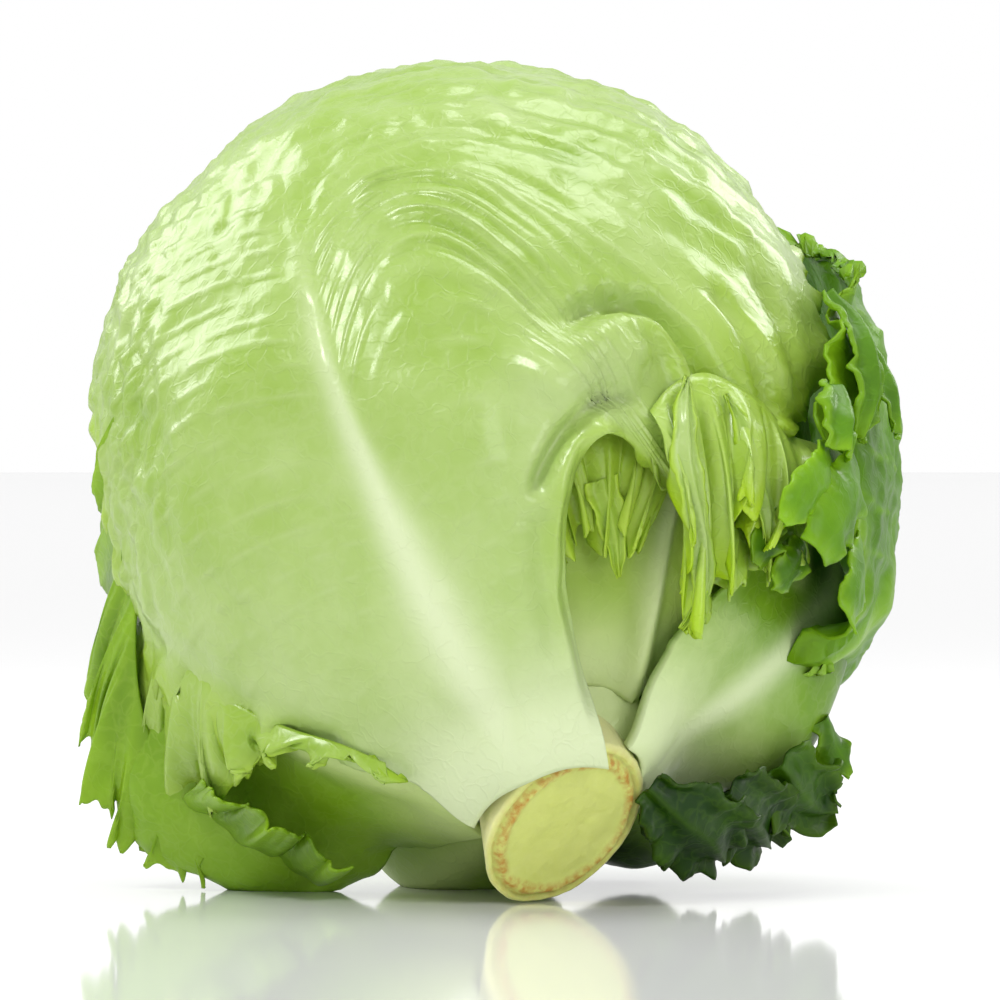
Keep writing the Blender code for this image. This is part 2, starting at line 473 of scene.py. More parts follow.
def add_mesh(name: str, sheets: Sequence[Sheet], material: bpy.types.Material) -> bpy.types.Object:
    """Join closed sheets into one smooth object.

    Args:
        name: the object's name.
        sheets: the sheets to join.
        material: the finish of all of them.

    Returns:
        The new object, linked to the scene.
    """
    points, faces, paint, start = [], [], {}, 0
    for sheet in sheets:
        some_points, some_faces, some_paint = sheet.closed()
        points.append(some_points)
        faces.append(some_faces + start)
        for key, values in some_paint.items():
            paint.setdefault(key, []).append(values)
        start += len(some_points)
    mesh = bpy.data.meshes.new(name)
    mesh.from_pydata((np.concatenate(points) * MM).tolist(), [], np.concatenate(faces).tolist())
    for key, values in paint.items():
        layer = mesh.attributes.new(key, "FLOAT", "POINT")
        layer.data.foreach_set("value", np.clip(np.concatenate(values), 0, 1).astype(np.float32))
    mesh.validate()
    mesh.shade_smooth()
    mesh.materials.append(material)
    thing = bpy.data.objects.new(name, mesh)
    bpy.context.scene.collection.objects.link(thing)
    return thing


@dataclass(frozen=True)
class Swell:
    """A rise of the skin about a direction, or a dent where its height is below zero.

    Lean, turn and spread are in degrees and the height is in mm.
    """

    lean: float
    turn: float
    spread: float
    height: float


@dataclass
class Leaf:
    """A leaf that wraps the ball on its own layer, drawn in degrees of arc about its own middle.

    The chart's x runs across the leaf and its y away from the stem. A rank is a place along the leaf
    counted in the points of its rib.
    """

    node: str
    slot: str
    middle: tuple[float, float]                # lean and turn of the chart's middle
    rib: Sequence[float]                       # degrees up the chart at evenly spaced rows
    left: Sequence[tuple[float, float]]        # the left margin's points in the chart
    right: Sequence[tuple[float, float]]       # the right margin's points in the chart
    layer: float                               # mm above the ball's skin
    tissue: LeafTissue
    swells: Sequence[Swell] = ()
    arch_left: Sequence[float] = (2.0, 5.0)    # degrees that the left half's rows bow up the chart
    arch_right: Sequence[float] = (2.0, 5.0)   # degrees that the right half's rows bow up the chart
    sway: Sequence[float] = (0.0, 0.0)         # degrees aside that the midrib runs
    rows: int = 130
    columns: int = 120
    seed: int = 1
    rib_height: float = 2.0                    # mm that the midrib stands proud
    rib_width: float = 6.0                     # mm of half width at the base, less further up
    blister: float = 0.8                       # mm of the blisters between veins
    heave: float = 1.6                         # mm of the blade's broad unevenness
    base_green: float = 0.15                   # greenness at the stem, from 0 to 1
    blade_green: float = 0.5                   # greenness at the far end
    ruffles: Sequence[Ruffle] = ()
    thin: float = 0.7                          # mm thick at the margin
    thick: float = 2.4                         # mm thick at the midrib's base
    teeth: float = 0.8                         # mm that the margin's teeth stand out
    flare: float = 0.0                         # mm that the base climbs up the stem's side
    frill: Sequence["Strip"] = ()              # free strips of its margin

    @property
    def rank(self) -> Array:
        """How far along the leaf each place is, in points of its rib."""
        return self.v * (len(self.rib) - 1)

    def place(self, chart: Array) -> None:
        """Lay the grid's places at points of the chart."""
        self.chart = chart
        self.unit = BALL.wrap(chart.reshape(-1, 2), self.middle).reshape(*self.u.shape, 3)

    def grain(self, *sizes: float, layers: int) -> Array:
        """Read the leaf's own noise in layers over the ball.

        Args:
            sizes: mm of the largest layer's cells along x, y and z.
            layers: how many layers.

        Returns:
            Values from about -1 to 1 for the grid's places.
        """
        flat = self.unit * BALL.across
        cells = [flat[..., axis] / size for axis, size in enumerate(sizes)]
        return self.noise.octaves(*cells, layers=layers)

    def grid(self) -> None:
        """Lay out the grid: places across and along, chart degrees, and mm from the margins."""
        across = np.linspace(-1, 1, self.columns)
        along = np.linspace(0, 1, self.rows)
        self.u, self.v = np.meshgrid(across, along)
        u, v = self.u.ravel(), self.v.ravel()
        rib = np.stack([track(self.sway, v), track(self.rib, v)], 1)
        margin = np.where(u[:, None] < 0, smooth_path(self.left, v), smooth_path(self.right, v))
        bend = (rib + margin) / 2
        bend[:, 1] += np.where(u < 0, track(self.arch_left, v), track(self.arch_right, v))
        t = np.abs(u)[:, None]
        chart = rib * (1 - t) ** 2 + bend * 2 * t * (1 - t) + margin * t**2
        self.place(chart.reshape(self.rows, self.columns, 2))
        flat = self.unit * BALL.across
        step = np.linalg.norm(np.diff(flat, axis=1), axis=2)
        run = np.concatenate([np.zeros((self.rows, 1)), np.cumsum(step, axis=1)], axis=1)
        # Distances in mm over the ball: from the rib, from the base, and in from the nearest margin.
        half = self.columns // 2
        self.from_rib = np.abs(run - run[:, half:half + 1])
        side = np.minimum(run, run[:, -1:] - run)
        climb = np.linalg.norm(np.diff(flat, axis=0), axis=2)
        rise = np.concatenate([np.zeros((1, self.columns)), np.cumsum(climb, axis=0)], axis=0)
        self.from_base = rise
        self.inland = np.minimum(side, rise[-1:] - rise)
        # Distance in mm round the leaf, along which the waves and teeth of its margin run.
        heading = np.arctan2(self.chart[..., 0], self.chart[..., 1] - 0.35 * (self.rib[0] + self.rib[-1]))
        self.round = heading * np.abs(np.array([self.left[len(self.left) // 2][0]])) * DEGREE
        self.noise = Noise(self.seed)
        self.toothed = np.ones(self.u.shape)

    def relief(self) -> Array:
        """Heights in mm that the rib, veins, blisters and flare add to the layer.

        Returns:
            One height for each of the grid's places.
        """
        away = smoothstep(0, 60, self.from_base)
        height = self.heave * self.grain(38, 38, 38, layers=2)
        height += self.blister * away * self.grain(11, 11, 11, layers=3)
        width = 1.2 + self.rib_width * (1 - self.v) ** 1.5
        ridge = bell(self.from_rib, width)
        height += self.rib_height * ridge * (1 - smoothstep(0.1, 0.8, self.v))
        self.rib_paint = 0.85 * bell(self.from_rib, 1.1 * width) * (1 - smoothstep(0.30, 0.75, self.v))
        self.vein_paint = self.side_veins()
        height += 0.5 * self.vein_paint * away
        height += self.flare * (1 - smoothstep(0, 13, self.from_base))
        return height

    def side_veins(self) -> Array:
        """Ridges of the side veins, which leave the rib and branch towards the margin.

        Returns:
            Shares from 0 off the veins to 1 on them.
        """
        along = self.rank * 1.15 + 0.25 * self.noise(self.v * 6, self.u * 2)
        phase = np.abs(((along * 1.6) % 1.0) - 0.5) * 2
        fade = smoothstep(2, 9, self.from_rib) * smoothstep(0, 12, self.inland)
        return smoothstep(0.82, 1.0, phase) * fade

    def swell(self) -> Array:
        """Heights in mm of the stated swells.

        Returns:
            One height for each of the grid's places.
        """
        total = np.zeros(self.u.shape)
        for rise in self.swells:
            towards = BALL.direction(rise.lean, rise.turn)[0]
            apart = np.degrees(np.arccos(np.clip(self.unit @ towards, -1, 1)))
            total += rise.height * bell(apart, rise.spread)
        return total

    def ruffle(self, points: Array) -> Array:
        """Wave the margins.

        Args:
            points: the grid's points in mm.

        Returns:
            The moved points.
        """
        over = np.gradient(points, axis=1)
        down = np.gradient(points, axis=0)
        normal = unit_rows(np.cross(over, down))
        tangent = unit_rows(np.cross(normal, self.outward(points)))
        moved = points.copy()
        for wave in self.ruffles:
            near = (1 - smoothstep(0, wave.reach, self.inland)) * smoothstep(6, 30, self.from_base)
            near *= 0.25 + 0.75 * self.toothed
            drift = 0.9 * self.noise(self.round / (2.2 * wave.length) + wave.seed, self.inland / 40)
            for share, finer in WAVE_SIZES:
                phase = 2 * math.pi * (self.round / wave.length * finer + drift * finer + wave.seed * finer)
                push = wave.height * share * near ** (0.8 + 0.5 * finer)
                moved += normal * (push * np.sin(phase))[..., None]
                moved += tangent * (push * wave.curl * np.sin(2 * phase + 1.0) * 0.5)[..., None]
        return moved

    def outward(self, points: Array) -> Array:
        """Unit vectors along the sheet from its rib towards its margin."""
        return unit_rows(np.gradient(points, axis=1) * np.sign(self.u + 1e-9)[..., None])

    def jag(self) -> None:
        """Cut the margin into teeth by moving the outermost places in the chart."""
        edge = 1 - smoothstep(0, 5, self.inland)
        saw = self.noise(self.round / 3.1, self.round * 0 + 3.3) + 0.6 * self.noise(self.round / 1.3, 5.1)
        spike = np.maximum(saw, 0) * self.teeth / DEGREE
        away = np.where(np.abs(self.u)[..., None] > 0.5, np.sign(self.u)[..., None] * np.array([1.0, 0.0]),
                        np.array([0.0, 1.0]))
        lower = smoothstep(4, 20, self.from_base) * (1 - 0.85 * smoothstep(60, 95, self.from_base))
        self.place(self.chart + away * (spike * edge * lower * self.toothed)[..., None])

    def shape(self) -> Array:
        """Points of the outer skin in mm.

        Returns:
            Rows and columns of x, y and z.
        """
        self.grid()
        height = self.layer + self.swell() + self.relief()
        self.jag()
        reach = BALL.radius(self.unit.reshape(-1, 3)).reshape(self.u.shape) + height
        points = self.ruffle(BALL.centre + self.unit * reach[..., None])
        points[..., 2] = np.maximum(points[..., 2], 0.0)
        return points

    def paint(self) -> dict[str, Array]:
        """Values from 0 to 1 that the finish reads.

        Returns:
            Values by the names green, rim, rib and vein.
        """
        patch = 0.12 * self.grain(24, 24, 24, layers=3)
        along = smoothstep(0, 95, self.from_base)
        green = self.base_green + (self.blade_green - self.base_green) * along + patch * along
        # The rim share paints the margins towards the rim colour: partly their own brighter green, partly
        # painted glow of light through the thin edge.
        near = bell(self.inland, 5.0) * along
        base = 1 - smoothstep(2, 26, self.from_base)
        return {"green": green + 0.15 * near, "rim": 0.55 * near,
                "rib": np.maximum(self.rib_paint, 0.85 * base), "vein": self.vein_paint}

    def sheet(self) -> Sheet:
        """The leaf's blade as one sheet.

        Returns:
            The sheet, thick at the midrib and the base.
        """
        points = self.shape()
        fleshy = np.maximum(bell(self.from_rib, 9.0) * (1 - self.v), 1 - smoothstep(0, 40, self.from_base))
        thickness = self.thin + (self.thick - self.thin) * fleshy
        return Sheet(points, thickness, self.paint())

    def build(self) -> bpy.types.Object:
        """Make the leaf, with its free strips, and put it in place of its plain CAD shell.

        Returns:
            The new object.
        """
        sheets = [self.sheet()] + [strip.sheet() for strip in self.frill]
        thing = add_mesh(f"{self.node}_fine", sheets, self.tissue.make())
        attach(thing, BODY)
        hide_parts(self.node)
        log.info("%s: %d points", thing.name, len(thing.data.vertices))
        return thing


Margin = list[tuple[float, float]]


def oval(width: float, bottom: float, top: float, base: float = 8.0) -> tuple[Margin, Margin]:
    """Draw the margins of a broad oval leaf.

    Args:
        width: half width in degrees.
        bottom: degrees up the chart where it starts.
        top: degrees up the chart of its blunt tip.
        base: half width at the stem in degrees.

    Returns:
        Left and right margins from base to tip.
    """
    shape = ((base, 0.0), (0.62 * width, 0.12), (0.92 * width, 0.32), (width, 0.55), (0.86 * width, 0.80))
    right = [(x, bottom + (top - bottom) * y) for x, y in shape] + [(0.5 * width, top)]
    return [(-x, y) for x, y in right], right


def nearest_on(path: Array, places: Array) -> tuple[Array, Array]:
    """Measure from places to a path in the same plane.

    Args:
        path: the path's points.
        places: grid of places, with x and y last.

    Returns:
        Signed distance, above zero to the path's left, and the fraction along the path.
    """
    best = np.full(places.shape[:2], 1e9)
    side = np.zeros(places.shape[:2])
    where = np.zeros(places.shape[:2])
    for number, (start, end) in enumerate(zip(path, path[1:])):
        run = end - start
        t = np.clip(((places - start) @ run) / (run @ run), 0, 1)
        gap = places - (start + t[..., None] * run)
        distance = np.linalg.norm(gap, axis=2)
        closer = distance < best
        best = np.where(closer, distance, best)
        side = np.where(closer, np.sign(run[0] * gap[..., 1] - run[1] * gap[..., 0]), side)
        where = np.where(closer, (number + t) / (len(path) - 1), where)
    return best * side, where


@dataclass(frozen=True)
class Fold:
    """A crease or ridge of a blade along a path in its chart: height and half width in mm."""

    path: Sequence[tuple[float, float]]
    height: float
    width: float
    steep: float = 1.0       # how many times sharper its left side is than its right side

    def lift(self, chart: Array) -> Array:
        """Read the fold's height.

        Args:
            chart: grid of chart places, with x and y last.

        Returns:
            The height at each place, in mm.
        """
        gap, where = nearest_on(smooth_path(self.path, np.linspace(0, 1, 24)), chart)
        gap = gap * DEGREE
        width = np.where(gap > 0, self.width / self.steep, self.width)
        ends = smoothstep(0.0, 0.18, where) * (1 - smoothstep(0.85, 1.0, where))
        return self.height * bell(gap, width) * ends


@dataclass
class Tongue:
    """A free strip of leaf margin that hangs or curls: a path with widths, cupped across."""

    path: Sequence[tuple[float, float, float]]   # lean, turn, mm above the ball
    widths: Sequence[float]    # mm at evenly spaced places along it
    cup: float = 0.35          # depth of its channel as a share of its width
    wave: float = 0.9          # mm that its edges wave
    wave_length: float = 9.0   # mm from wave to wave
    green: float = 0.4
    rim: float = 0.6
    rows: int = 60
    columns: int = 17
    seed: int = 3
    thickness: float = 0.55
    fold: float = 0.0          # mm of lengthwise pleats
    rib: float = 0.0           # how blanched it is

    def sheet(self) -> Sheet:
        """The strip as one sheet.

        Returns:
            The sheet, torn along its free edges.
        """
        along = np.linspace(0, 1, self.rows)
        route = smooth_path(self.path, along)
        spine = BALL.point(route[:, 0], route[:, 1], route[:, 2])
        forward = unit_rows(np.gradient(spine, axis=0))
        side = unit_rows(np.cross(forward, unit_rows(spine - BALL.centre)))
        face = np.cross(side, forward)
        noise = Noise(self.seed)
        u, s = np.meshgrid(np.linspace(-1, 1, self.columns), distances_along(spine))
        tear = 0.30 * noise(s / 5.0, np.sign(u) * 3.0 + 9.1) + 0.12 * noise(s / 1.7, u + 2.2)
        half = np.maximum(track(self.widths, along), 0.4)[:, None] * (1 + tear * np.abs(u)) / 2
        height = -self.cup * half * u**2
        swing = 2.2 * noise(s / self.wave_length * 2.0, np.sign(u) * 2.0 + 1.7)
        flutter = 0.5 * self.wave * u**4 * noise(s / 2.2, np.sign(u) + 5.0)
        height = height + self.wave * u**2 * swing + flutter
        height = height + self.fold * np.cos(u * 2.2 * math.pi + noise(s / 12, u * 0)) * 0.5
        height = height + 0.25 * noise.octaves(u * half / 2.2, s / 4.0, layers=2)
        points = spine[:, None] + side[:, None] * (u * half)[..., None] + face[:, None] * height[..., None]
        points[..., 2] = np.maximum(points[..., 2], TABLE_GAP)
        # Edges and tip are painted towards the rim colour: partly their own, partly painted glow of light
        # through them.
        edge = bell(1 - np.abs(u), 0.25)
        tip = smoothstep(0.75, 1.0, np.broadcast_to(along[:, None], u.shape))
        paint = {"green": self.green + 0.12 * noise(s / 9, u), "rim": np.maximum(edge, tip) * self.rim,
                 "rib": np.full(u.shape, self.rib), "vein": bell(u, 0.10) * 0.25}
        return Sheet(points, np.full(u.shape, self.thickness), paint)


@dataclass
class Frill:
    """A gathered strip of leaf margin, whose pleats open from its root line to its free edge."""

    root: Sequence[tuple[float, float, float]]   # lean, turn, mm above the ball
    edge: Sequence[tuple[float, float, float]]
    pleat: float = 3.0         # mm that a pleat stands out at the free edge
    length: float = 10.0       # mm of strip for each pleat
    teeth: float = 2.5         # mm that the free edge is torn
    bow: float = 2.0           # mm that the strip bulges between root and edge
    green: float = 0.4
    rim: float = 0.6
    seed: int = 3
    thickness: float = 0.5
    rows: int = 240
    columns: int = 30

    def sheet(self) -> Sheet:
        """The strip as one sheet.

        Returns:
            The sheet, torn along its free edges.
        """
        along = np.linspace(0, 1, self.rows)
        root, edge = (BALL.point(*smooth_path(line, along).T) for line in (self.root, self.edge))
        middle = (root + edge) / 2
        t, s = np.meshgrid(np.linspace(0, 1, self.columns), distances_along(middle))
        noise = Noise(self.seed)
        hang = edge - root
        reach = t * (1 + 0.22 * noise(s / (0.7 * self.length), t * 0 + 2.0))
        points = root[:, None] + hang[:, None] * reach[..., None]
        tears = self.teeth * (noise(s / 2.6, t * 0 + 5.0) + 0.6 * noise(s / 1.1, t * 0 + 8.0)) * t**3
        points += unit_rows(hang)[:, None] * tears[..., None]
        out = unit_rows(points - BALL.centre)
        forward = unit_rows(np.gradient(middle, axis=0))
        phase = 2 * math.pi * s / self.length + 3.2 * noise(s / (1.6 * self.length), t * 0.8)
        grow = self.pleat * t**1.2
        swing = np.sin(phase) + 0.35 * np.sin(2.6 * phase + 1.0) + 0.5 * noise(s / 3.0, t * 2.0) * t
        points += out * (self.bow * np.sin(math.pi * t) + grow * swing)[..., None]
        points += forward[:, None] * (0.55 * grow * np.sin(2 * phase + 0.8))[..., None]
        points[..., 2] = np.maximum(points[..., 2], TABLE_GAP)
        # Paler on the pleats' crests and greener in their hollows, more so towards the free edge: painted
        # light and painted shade.
        paint = {"green": self.green + 0.15 * noise(s / 7, t * 1.5) - 0.15 * np.sin(phase) * t,
                 # The free edge is painted towards the rim colour: partly its own, partly painted glow of
                 # light through it.
                 "rim": self.rim * (0.35 + 0.65 * smoothstep(0.6, 1.0, t)), "rib": t * 0,
                 "vein": 0.3 * smoothstep(0.8, 1.0, np.sin(phase)) * t}
        return Sheet(points, np.full(t.shape, self.thickness), paint)


Strip = Tongue | Frill


@dataclass(frozen=True)
class Lobe:
    """A hanging lobe of a margin: where it is along the leaf, and how it hangs."""

    rank: float                     # place along the leaf, in the margin's own points
    half: float                     # half its width, in the same measure
    hang: tuple[float, float]       # degrees in the chart from the notches beside it to its tip
    height: float = 3.0             # mm that its middle stands above its notches
    side: Side = Side.LEFT


@dataclass
class FrontLeaf(Leaf):
    """The great front leaf: a white rib, pleats over the right shoulder, and a gathered knot below it."""

    lip: Fold = Fold(((17, -62), (20, -53), (23, -44), (27, -37), (32, -32), (37, -29)), 3.4, 2.6)
    folds: Sequence[Fold] = (
        Fold(((12, -60), (15, -52), (18, -44), (21, -37)), -1.6, 3.0),
        Fold(((19, -37), (24, -32), (30, -27.5), (36, -25), (41, -26)), -3.6, 2.0, steep=1.4),
        Fold(((25, -24), (32, -19.5), (39, -18), (44, -23)), 4.6, 7.0),
        Fold(((31, -15), (40, -11), (47, -11), (52, -17), (54, -28), (53, -40)), -4.4, 2.2, steep=0.8),
        Fold(((33, -18), (41, -14.5), (46, -14.5), (49.5, -21), (49, -32)), 2.4, 2.2),
        Fold(((60, -6), (64, -14), (65, -26), (62, -36)), -2.4, 2.2),
        Fold(((72, 2), (76, -10), (76, -22), (73, -32)), -1.8, 2.4),
    )
    lobes: Sequence[Lobe] = (
        Lobe(3.70, 0.26, (-1.5, -5.0), 3.4), Lobe(4.15, 0.30, (-0.5, -9.0), 5.0),
        Lobe(4.65, 0.28, (-3.0, -6.5), 5.0), Lobe(5.15, 0.32, (-2.5, -9.0), 6.0),
        Lobe(5.65, 0.26, (-3.5, -5.0), 4.0),
    )

    def grid(self) -> None:
        """Lay out the grid, draw its margin out into the lobes, and say where it is toothed."""
        super().grid()
        rank = self.rank
        self.lobed = np.zeros(self.u.shape)
        moved = self.chart.copy()
        for lobe in self.lobes:
            reach = smoothstep(0.88, 1.0, self.u * lobe.side.value)
            gap = np.abs(rank + 0.08 * self.noise(rank * 3.1, self.u * 6.0) - lobe.rank) / lobe.half
            bulge = np.cos(np.clip(gap, 0, 1) * math.pi / 2)
            moved += (bulge**1.3 * reach)[..., None] * np.array(lobe.hang)
            self.lobed += lobe.height * bulge * reach
        self.place(moved)
        self.toothed = np.where(self.u > 0, smoothstep(6.0, 7.0, rank), 1 - 0.9 * smoothstep(6.0, 8.0, rank))

    def relief(self) -> Array:
        """Heights in mm, with the shoulder's pleats, the folds and the gathers added.

        Returns:
            One height for each of the grid's places.
        """
        height = super().relief()
        rank = self.rank
        # Pleats fan out over the right shoulder and stop at the knot.
        right = smoothstep(0.10, 0.40, self.u)
        upper = smoothstep(5.5, 8.0, rank)
        shoulder = right * upper * (1 - self.knot((36, -24), 17.0))
        pleats = 1 - np.abs(self.noise(rank * 1.4, self.u * 1.6 + 4.0)) * 2.2
        fine = 1 - np.abs(self.noise(rank * 3.9, self.u * 3.0 + 9.0)) * 2.2
        height += shoulder * (0.95 * pleats + 0.15 * fine)
        height += self.lobed
        # The right hem ripples, and the torn left margin crumples.
        ripple = self.noise(self.u * 12.0, rank * 1.3 + 7.0) + 0.5 * self.noise(self.u * 25.0, rank * 2.3)
        height += 0.7 * ripple * smoothstep(0.84, 1.0, self.u) * upper * (1 - smoothstep(11, 13, rank))
        crumple = self.noise(self.u * 30.0, rank * 3.0) * smoothstep(0.88, 1.0, -self.u)
        height += 2.0 * crumple * smoothstep(2.0, 4.0, rank) * (1 - smoothstep(6, 7, rank))
        # Puckers lie thickest on the left flank and over the crown.
        left = smoothstep(0.25, 0.7, -self.u) * smoothstep(4, 7, rank)
        height += left * 1.5 * np.abs(self.grain(8, 8, 10, layers=3))
        crown = smoothstep(9, 13, rank)
        height += crown * 1.3 * np.abs(self.grain(7, 14, 14, layers=3))
        for fold in (self.lip, *self.folds):
            height += fold.lift(self.chart)
        # The margin turns under beside the opening.
        band = smoothstep(0.5, 1.5, rank) * (1 - smoothstep(5.0, 6.0, rank)) * (self.u > 0)
        height -= band * 7.0 * (1 - smoothstep(0, 3.2, self.inland)) ** 1.5
        seen = np.maximum(shoulder * smoothstep(0.6, 0.95, pleats) * 0.8, self.vein_paint * (1 - shoulder))
        self.vein_paint = seen * smoothstep(3, 9, self.inland)
        return height

    def knot(self, middle: tuple[float, float], spread: float) -> Array:
        """Where the blade gathers into its knot beside the opening.

        Args:
            middle: the knot's place in the chart.
            spread: its half width in degrees.

        Returns:
            Shares from 0 away from it to 1 at its middle.
        """
        return bell(np.hypot(self.chart[..., 0] - middle[0], self.chart[..., 1] - middle[1]), spread)

    def paint(self) -> dict[str, Array]:
        """Values for the finish, greener at the torn left margin and paler over the knot, where the paleness
        is painted light.

        Returns:
            Values by the names green, rim, rib and vein.
        """
        paint = super().paint()
        rank = self.rank
        # The hanging lobes and the torn left margin are painted towards the rim colour: partly their own,
        # partly painted glow of light through them.
        lobe = smoothstep(0.70, 0.95, self.u) * smoothstep(5.5, 7.0, rank) * (1 - smoothstep(11, 14, rank))
        torn = smoothstep(0.86, 1.0, -self.u) * smoothstep(2, 4, rank) * (1 - smoothstep(6, 8, rank))
        # Paler over the knot's bulge, with less rim colour there: painted light.
        knot = self.knot((34, -22), 12.0)
        paint["green"] = paint["green"] + 0.05 * lobe + 0.20 * torn - 0.16 * knot
        paint["rim"] = np.maximum(paint["rim"], np.maximum(0.35 * lobe * (1 - knot), 0.5 * torn))
        return paint


@dataclass(frozen=True)
class CutFlesh:
    """Cut lettuce stem: moist pale flesh, sliced across, that browned in a ring where the sap dried.

    The eye sees a soft, slightly clear yellow-green with a speckled brown rim.
    """

    name: str = "cut_lettuce_stem"
    flesh: str = "#D6DC86"
    core: str = "#C4CE6A"
    ring: str = "#B98A3C"
    skin: str = "#E2E0A4"
    roughness: float = 0.55
    ior: float = 1.40        # a little above water's
    clear: float = 0.25      # share of light that sinks in and scatters
    sink: tuple[float, float, float] = (0.004, 0.004, 0.0015)   # metres that each colour of it goes
    speck_mm: float = 1.6    # width of a brown speck
    cloud_mm: float = 7.143  # width of a cloud in the flesh

    def make(self) -> bpy.types.Material:
        """Build the material.

        Returns:
            The material, which reads the mesh's radius and face attributes.
        """
        material = bpy.data.materials.new(self.name)
        material.use_nodes = True
        tree = material.node_tree
        tree.nodes.clear()
        place = add_node(tree, "TexCoord").outputs["Object"]
        radius = add_node(tree, "Attribute", {"attribute_name": "radius"}).outputs["Fac"]
        face = add_node(tree, "Attribute", {"attribute_name": "face"}).outputs["Fac"]
        cloud = add_node(tree, "TexNoise", Vector=place, Scale=1000.0 / self.cloud_mm, Detail=5.0,
                         Roughness=0.65)
        specks = add_node(tree, "TexNoise", Vector=place, Scale=1000.0 / self.speck_mm, Detail=3.0)
        inner = add_node(tree, "MixRGB", Fac=cloud.outputs["Fac"], Color1=hex_colour(self.flesh),
                         Color2=hex_colour(self.core))
        wander = add_node(tree, "Math", {"operation": "MULTIPLY_ADD"}, i0=cloud.outputs["Fac"], i1=0.16,
                          i2=radius)
        near = add_node(tree, "MapRange", {"interpolation_type": "SMOOTHSTEP"},
                        Value=wander.outputs["Value"], From_Min=0.84, From_Max=0.95)
        past = add_node(tree, "MapRange", {"interpolation_type": "SMOOTHSTEP"},
                        Value=wander.outputs["Value"], From_Min=0.97, From_Max=1.06, To_Min=1.0, To_Max=0.25)
        dots = add_node(tree, "MapRange", {"clamp": True}, Value=specks.outputs["Fac"], From_Min=0.38,
                        From_Max=0.62, To_Min=0.15, To_Max=1.0)
        band = add_node(tree, "Math", {"operation": "MULTIPLY"}, i0=near.outputs["Result"],
                        i1=past.outputs["Result"])
        brown = add_node(tree, "Math", {"operation": "MULTIPLY"}, i0=band.outputs["Value"],
                         i1=dots.outputs["Result"])
        ringed = add_node(tree, "MixRGB", Fac=brown.outputs["Value"], Color1=inner.outputs["Color"],
                          Color2=hex_colour(self.ring))
        colour = add_node(tree, "MixRGB", Fac=face, Color1=hex_colour(self.skin),
                          Color2=ringed.outputs["Color"]).outputs["Color"]
        bump = add_node(tree, "Bump", Strength=0.5, Distance=0.4 * MM,
                        Height=specks.outputs["Fac"]).outputs["Normal"]
        surface = add_node(tree, "BsdfPrincipled", Base_Color=colour, Normal=bump)
        surface.inputs["Roughness"].default_value = self.roughness
        surface.inputs["IOR"].default_value = self.ior
        surface.inputs["Subsurface Weight"].default_value = self.clear
        surface.inputs["Subsurface Radius"].default_value = self.sink
        surface.inputs["Subsurface Scale"].default_value = 1.0
        out = add_node(tree, "OutputMaterial")
        tree.links.new(surface.outputs["BSDF"], out.inputs["Surface"])
        return material


